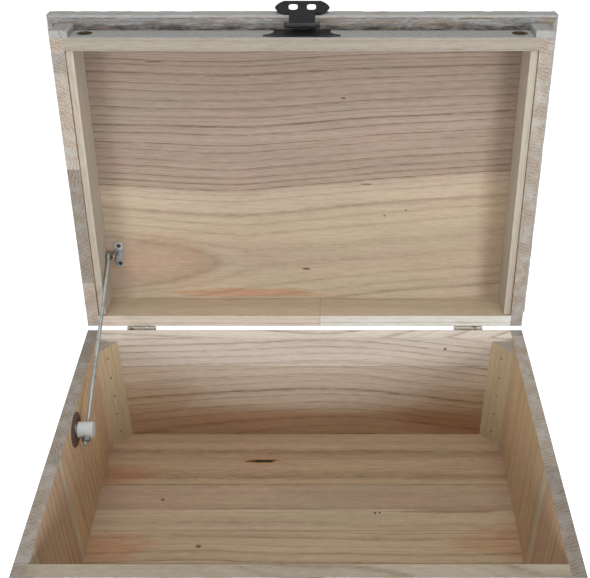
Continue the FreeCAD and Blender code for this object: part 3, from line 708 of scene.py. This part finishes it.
def corner_strips():
    """The upright strips on the front's corners. In their outline, u is inward from the side, v forward."""
    for part, lid in (("box", False), ("lid", True)):
        material = wood(f"{part}_strip_wood", "Z", "X", Figure(heart=(0.0, -0.6)), lid=lid, wash="all",
                        cover=0.75, seed=53.0 if lid else 59.0)
        for side, label in ((-1, "left"), (1, "right")):
            node = f"{part}_front_strip_{label}"
            low, high = closed_box(node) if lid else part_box(node)
            width, out = high.x - low.x, -HALF_DEPTH - low.y
            corners = [(0.0, 0.0, TIGHT), (0.0, out, 1.8 * MM), (width, out, 1.8 * MM), (width, 0.0, TIGHT)]

            def upright(share, u, v):
                return Vector((side * (HALF_WIDTH - u), -HALF_DEPTH - v, low.z + share * (high.z - low.z)))

            worn_strip(f"worn_{part}_strip_{label}", node, rounded_outline(corners, 1.4 * MM), upright,
                       high.z - low.z, part, material, 20.0 + side * 3 + lid)


# ---- the CAD's own pieces ----

def dress(names, material, bevel):
    """Gives CAD nodes a material and softens their edges."""
    for name in names:
        node = frame["nodes"][name]
        node.data.materials.clear()
        node.data.materials.append(material)
        rounding = node.modifiers.new("soft_edges", "BEVEL")
        rounding.width = bevel
        rounding.segments = 2
        rounding.limit_method = "ANGLE"
        rounding.angle_limit = math.radians(40)


def dress_sides():
    """Upright boards. Each skirt of the lid was sawn from the same panel as the wall below it."""
    left_tints = (WARM, PALE, ROSE, PALE, WARM, ROSE)
    right_tints = (ROSE, PALE, WARM, WARM)
    arched = Figure(heart=(0.03, -0.40), cone=0.05, skew=0.03, near=0.011, far=0.011)
    straight = Figure(heart=(0.50, 0.10), cone=0.05, skew=0.03, near=0.011, far=0.011)
    for node, figure, tints, seed, end_shade in (
        ("box_left_side", arched, left_tints, 2.0, 0.66),
        ("box_right_side", straight, right_tints, 7.0, 0.70),
        ("lid_left_side", arched, left_tints, 2.5, 0.80),
        ("lid_right_side", straight, right_tints, 7.5, 0.60),
    ):
        lid = node.startswith("lid")
        joints = glue_lines(node, "Y", lid)
        material = wood(f"{node}_wood", "Z", "Y", figure, tints, lid=lid, joints=joints, lines=0.65,
                        mottle=0.14, seed=seed, end_shade=end_shade)
        dress([node], material, SOFT_EDGE)


def dress_front_and_back():
    """The back wall's lowest part is painted browner and darker as shade, more so at its right, with
    slanting grain.
    """
    figure = Figure(heart=(-0.055, 0.275), cone=0.10, cone_end=0.10, skew=0.16, bend=0.03, near=0.014,
                    far=0.011, switch=0.12)
    spots = [
        knot_and_shade((0.1937, 0.1793), (0.003, 0.0022), srgb(120, 92, 72)),
        # painted shade: these three darken the wall's lower part, all along its bottom and higher up at the
        # right and the left
        stain_and_shade((0.0, 0.012), (0.6, 0.070), (0.68, 0.46, 0.31), 0.8, ragged=0.25),
        stain_and_shade((0.28, 0.058), (0.17, 0.06), (0.72, 0.56, 0.44), 0.7),
        stain_and_shade((-0.24, 0.085), (0.12, 0.035), (0.80, 0.66, 0.54), 0.6, ragged=0.45),
    ]
    back = wood("back_wall_wood", "X", "Z", figure, (srgb(226, 211, 194), srgb(234, 224, 215)),
                joints=glue_lines("box_back_boards", "Z"), lines=0.9, seed=11.0, spots=spots)
    dress(["box_back_boards"], back, SOFT_EDGE)
    front = wood("front_wall_wood", "X", "Z", Figure(heart=(0.08, -0.27), cone=0.05),
                 (TAN, TAN, srgb(176, 166, 150)), joints=glue_lines("box_front_boards", "Z"), seed=13.0)
    dress(["box_front_boards"], front, SOFT_EDGE)


def dress_bottom():
    """Seven boards, with a crack in one of them, small knots and reddish patches."""
    tints = (srgb(178, 158, 138), srgb(182, 162, 142), srgb(180, 156, 134), srgb(194, 174, 150),
             srgb(192, 174, 152), srgb(178, 158, 138), srgb(184, 160, 136))
    crack = (-0.062, 0.131)
    brown_knot = srgb(128, 100, 76)
    pin_knot = srgb(50, 34, 22)
    spots = [
        knot_and_shade(crack, (0.036, 0.008), srgb(186, 148, 96), 0.65, ragged=0.7),
        knot_and_shade(crack, (0.029, 0.0034), srgb(40, 26, 12), 0.95, ragged=0.9),
        knot_and_shade((0.175, 0.1035), (0.028, 0.009), srgb(158, 134, 98), 0.35),
        knot_and_shade((-0.1956, 0.0602), (0.0035, 0.003), brown_knot),
        knot_and_shade((-0.1379, -0.0172), (0.005, 0.003), brown_knot),
        knot_and_shade((0.0957, 0.0373), (0.002, 0.002), pin_knot),
        knot_and_shade((0.1022, 0.0380), (0.0018, 0.0018), pin_knot),
        knot_and_shade((0.205, 0.0402), (0.09, 0.0036), srgb(120, 88, 62), 0.5, ragged=0.8),
        stain_and_shade((-0.31, -0.022), (0.15, 0.028), (0.92, 0.62, 0.46), 0.6, ragged=0.6),
        stain_and_shade((-0.31, 0.106), (0.14, 0.020), (0.92, 0.66, 0.50), 0.6, ragged=0.6),
        stain_and_shade((-0.05, -0.085), (0.30, 0.020), (0.95, 0.80, 0.68), 0.6, ragged=0.6),
        stain_and_shade((0.30, -0.01), (0.12, 0.03), (0.92, 0.70, 0.55), 0.6, ragged=0.6),
    ]
    figure = Figure(heart=(0.1, -0.12), near=0.018, far=0.014, skew=0.0)
    material = wood("bottom_wood", "X", "Y", figure, tints, joints=glue_lines("bottom_boards", "Y"),
                    seed=17.0, wash=None, lines=0.55, fine=0.35, mottle=0.14, spots=spots)
    dress(["bottom_boards"], material, SOFT_EDGE / 2)


def dress_panel():
    """One wide board: an arch of broad rings at the left, and close straight rings in darker wood beyond."""
    figure = Figure(heart=(0.126, 0.1283), cone=0.05, cone_end=-0.08, skew=0.093, bend=-0.10, near=0.0205,
                    far=0.0098, switch=0.1615, start=0.90)
    bands = [(0.10, srgb(188, 171, 155)), (0.119, srgb(190, 173, 156)), (0.125, srgb(192, 176, 155)),
             (0.150, srgb(194, 179, 160)), (0.1605, srgb(188, 172, 156)), (0.1625, srgb(170, 154, 141)),
             (0.22, srgb(164, 149, 137)), (0.28, srgb(158, 143, 132)), (0.34, srgb(150, 135, 126))]
    knots = [((0.002, 0.137), (0.0075, 0.0022)), ((0.0514, -0.110), (0.004, 0.0018)),
             ((0.083, 0.009), (0.010, 0.0011)), ((-0.188, -0.157), (0.014, 0.0011)),
             ((0.109, 0.0553), (0.002, 0.0016)), ((0.1375, 0.0477), (0.002, 0.0014))]
    spots = [knot_and_shade(centre, size, srgb(96, 74, 60), 0.85) for centre, size in knots]
    spots += [
        stain_and_shade((-0.075, 0.1755), (0.135, 0.0075), (1.0, 0.66, 0.52), 0.7, ragged=0.9),
        stain_and_shade((-0.20, 0.125), (0.09, 0.05), (1.0, 0.86, 0.80), 0.7),
        # painted shadow of the right batten: a dark band along the panel's right edge
        stain_and_shade((0.27, 0.03), (0.04, 0.2), (0.82, 0.72, 0.64), 0.45),
    ]
    material = wood("lid_panel_wood", "X", "Y", figure, lid=True, bands=bands, lines=0.9, fine=0.6,
                    steady=True, seed=23.0, spots=spots)
    dress(["lid_top_panel"], material, SOFT_EDGE)


def dress_lid_frame():
    """The rails at the panel's front and back, with the recesses in the front one painted brown as shade,
    and the battens.
    """
    recess_x, recess_above_rim, recess_radius = 263 * MM, 22 * MM, 17.5 * MM
    # painted shade: a dark brown disc fills each round recess of the front rail
    recess_shade = [knot_and_shade((side * recess_x, LID_RIM + recess_above_rim), (recess_radius, recess_radius),
                     srgb(92, 86, 50), 0.85, ragged=0.0) for side in (-1, 1)]
    front = wood("front_rail_wood", "X", "Z", Figure(heart=(0.22, -0.5)), (SHOP_WORN,), lid=True, lines=0.3,
                 seed=29.0, cover=0.95, spots=recess_shade)
    dress(["lid_front_rail"], front, SOFT_EDGE)
    back = wood("back_rail_wood", "X", "Z", Figure(heart=(0.20, 0.5)),
                (srgb(194, 178, 156), srgb(222, 209, 197), WHITE_WOOD), lid=True,
                joints=glue_lines("lid_back_rail", "X", lid=True), joint_axis="X", rim_tints=True, seed=31.0)
    dress(["lid_back_rail"], back, SOFT_EDGE)
    batten = wood("batten_wood", "Y", "Z", Figure(heart=(0.2, 0.9)), (srgb(184, 176, 165),), lid=True,
                  lines=0.35, seed=37.0, wash=None)
    dress(["lid_left_batten", "lid_right_batten"], batten, SOFT_EDGE)


def dress_corner_blocks():
    block = wood("block_wood", "Z", "X", Figure(heart=(0.0, 0.6), near=0.006, far=0.006),
                 (srgb(212, 194, 164),), seed=41.0, wash=None, lines=0.3)
    dress(["corner_block_left", "corner_block_right"], block, 0.5 * MM)


def dress_metal():
    black = black_paint()
    hinge = plated("hinge_plating", srgb(176, 168, 156), srgb(98, 84, 70), 0.34, 0.6)
    zinc = plated("zinc_plating", srgb(186, 190, 194), srgb(142, 144, 148), 0.30, 0.45)
    steel = plated("drawn_steel", srgb(176, 182, 178), srgb(148, 152, 148), 0.50, 0.60, metallic=0.7)
    brass = plated("old_brass", srgb(170, 150, 108), srgb(92, 72, 44), 0.3, 0.5, patch=0.7)
    dark = plated("dark_screw", srgb(92, 86, 80), srgb(44, 38, 34), 0.4, 0.6)
    dress(["hasp_base_plate", "hasp_flap", "hasp_pin", "hasp_screws", "catch_plate", "catch_staples",
           "catch_screws"], black, 0.25 * MM)
    dress([name for name in frame["nodes"] if name.startswith("hinge_")], hinge, 0.15 * MM)
    dress(["stay_nut", "stay_flange", "stay_bracket", "stay_pivot_screw"], zinc, 0.2 * MM)
    dress(["stay_rod"], steel, 0.1 * MM)
    dress(["stay_eye_rivet", "stay_bracket_rivet"], brass, 0.2 * MM)
    dress(["stay_bracket_screws", "corner_block_brads"], dark, 0.1 * MM)
    dress(["stay_barrel"], nylon(), 0.4 * MM)
    dress(["stay_backing_disc"], brown_fibre(), 0.2 * MM)


# ---- light, floor and camera ----

def studio():
    """A white room: two lamps in front, one above, and a floor that glows a little."""
    scene = bpy.context.scene
    scene.view_settings.view_transform = "Standard"
    scene.world = bpy.data.worlds.new("studio")
    scene.world.use_nodes = True
    sky = scene.world.node_tree.nodes["Background"]
    sky.inputs["Color"].default_value = (1.0, 1.0, 1.0, 1.0)
    sky.inputs["Strength"].default_value = 0.35
    for name, place, target, size, power in (
        ("right", (1.7, -2.2, 0.85), (0.0, 0.1, 0.35), 0.9, 27.0),
        ("left", (-1.7, -2.2, 0.85), (0.0, 0.1, 0.35), 0.9, 20.0),
        ("top", (0.0, -0.2, 2.4), (0.0, -0.1, 0.2), 1.4, 20.0),
    ):
        light = bpy.data.lights.new(name, "AREA")
        light.size = size
        light.energy = power
        lamp = bpy.data.objects.new(name, light)
        lamp.location = place
        lamp.rotation_euler = (Vector(target) - Vector(place)).to_track_quat("-Z", "Y").to_euler()
        scene.collection.objects.link(lamp)
    side = 60.0
    corners = [(-side, -side, 0), (side, -side, 0), (side, side, 0), (-side, side, 0)]
    mesh = bpy.data.meshes.new("floor")
    mesh.from_pydata(corners, [], [(0, 1, 2, 3)])
    floor = bpy.data.objects.new("floor", mesh)
    floor.data.materials.append(pale_floor())
    floor.location.z = -0.2 * MM
    scene.collection.objects.link(floor)


def camera():
    """Stands above the front edge and looks down into the box. The shifts place the chest in the picture."""
    data = bpy.data.cameras.new("camera")
    data.sensor_width = 36.0
    data.lens = 57.28
    data.shift_x = -0.0493
    data.shift_y = -0.0437
    data.clip_start = 0.01
    view = bpy.data.objects.new("camera", data)
    view.location = (0.0266, -0.801, 1.0314)
    view.rotation_euler = (math.radians(54.36), 0.0, 0.0)
    bpy.context.scene.collection.objects.link(view)
    bpy.context.scene.camera = view


studio()
camera()
dress_sides()
dress_front_and_back()
dress_bottom()
dress_panel()
dress_lid_frame()
dress_corner_blocks()
dress_metal()
mouldings()
corner_strips()
